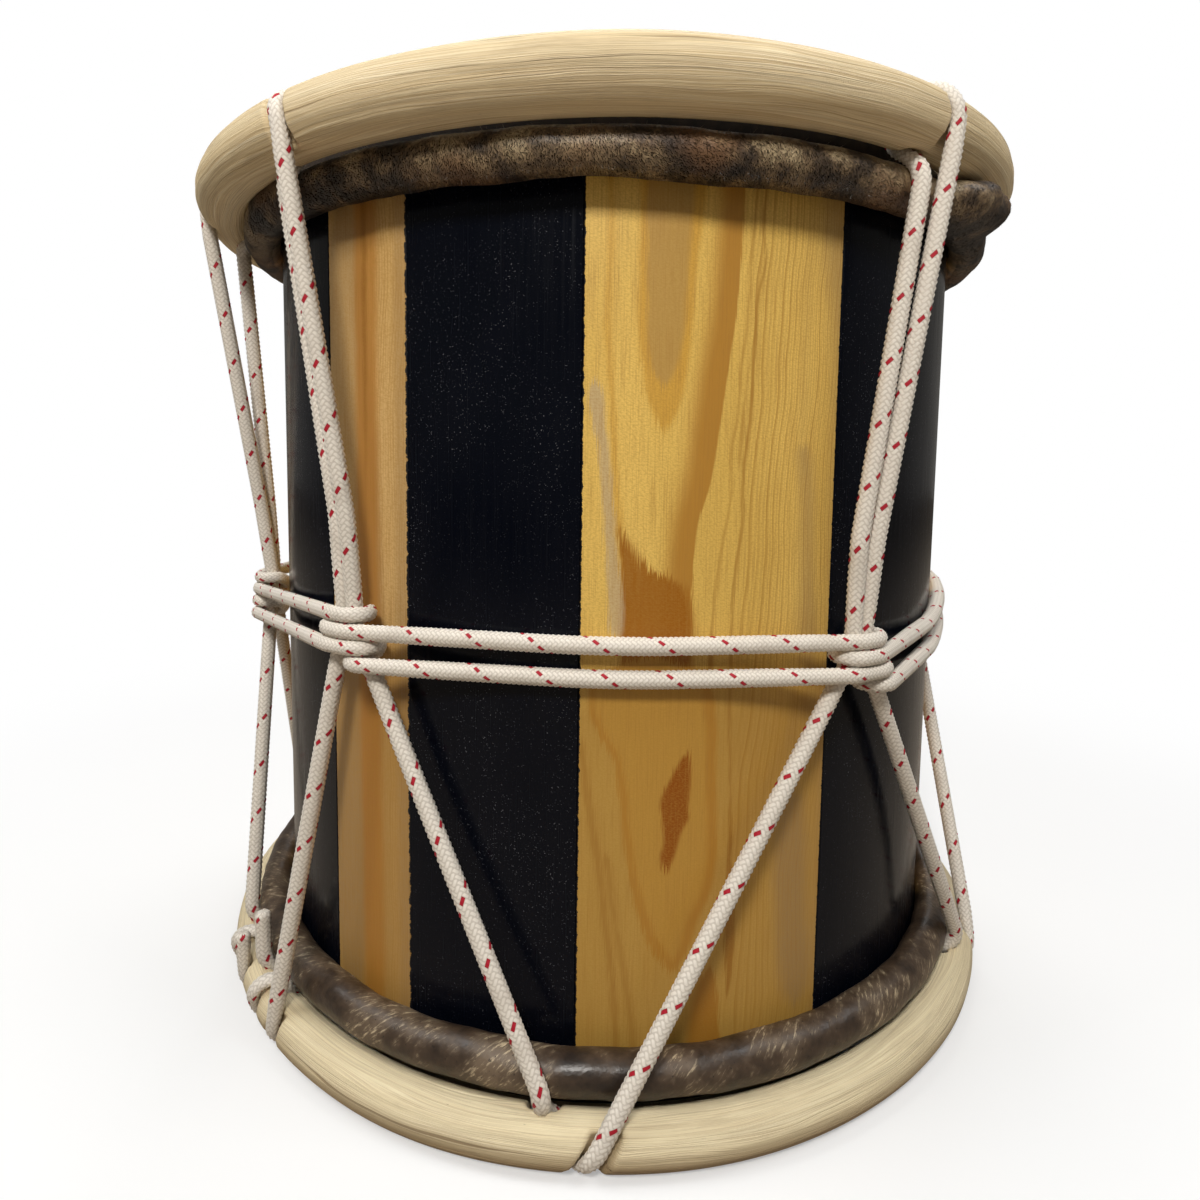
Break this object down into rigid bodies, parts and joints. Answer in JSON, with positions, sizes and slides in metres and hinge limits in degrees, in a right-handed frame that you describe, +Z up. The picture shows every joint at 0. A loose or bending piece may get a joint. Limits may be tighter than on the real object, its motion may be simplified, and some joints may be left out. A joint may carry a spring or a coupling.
{
  "type": "tambora drum",
  "caption": "Tambora drum with a striped stave shell, hide heads rolled on flesh hoops, peeled vine counter hoops and white rope lacing tied at the waist",
  "frame": {"origin": "on the ground under the middle of the drum's outline", "axes": "+Z up along the shell's axis, -Y the front seen in the picture, +X to the right"},
  "size_m": [0.3322, 0.3304, 0.3135],
  "materials": {
    "natural_pine": "clear gloss varnish over plain sawn pine with brown figure",
    "black_paint": "glossy black paint with fine specks and brush streaks",
    "goat_hide": "dark brown mottled rawhide with short hair left on",
    "peeled_vine": "bare peeled vine, pale, with long fibres and grooves",
    "flesh_hoop_wood": "bare bent wood",
    "white_rope": "white braided rope with one red tracer yarn"
  },
  "bodies": {
    "root": {"stave_01": "natural_pine", "stave_02": "black_paint", "stave_03": "natural_pine", "stave_04": "black_paint", "stave_05": "natural_pine", "stave_06": "black_paint", "stave_07": "natural_pine", "stave_08": "black_paint", "stave_09": "natural_pine", "stave_10": "black_paint", "stave_11": "natural_pine", "stave_12": "black_paint", "stave_13": "natural_pine", "stave_14": "black_paint", "top_head": "goat_hide", "bottom_head": "goat_hide", "top_flesh_hoop": "flesh_hoop_wood", "bottom_flesh_hoop": "flesh_hoop_wood", "top_counter_hoop": "peeled_vine", "bottom_counter_hoop": "peeled_vine", "lacing_rope": "white_rope", "tie_rope": "white_rope"}
  },
  "joints": []
}
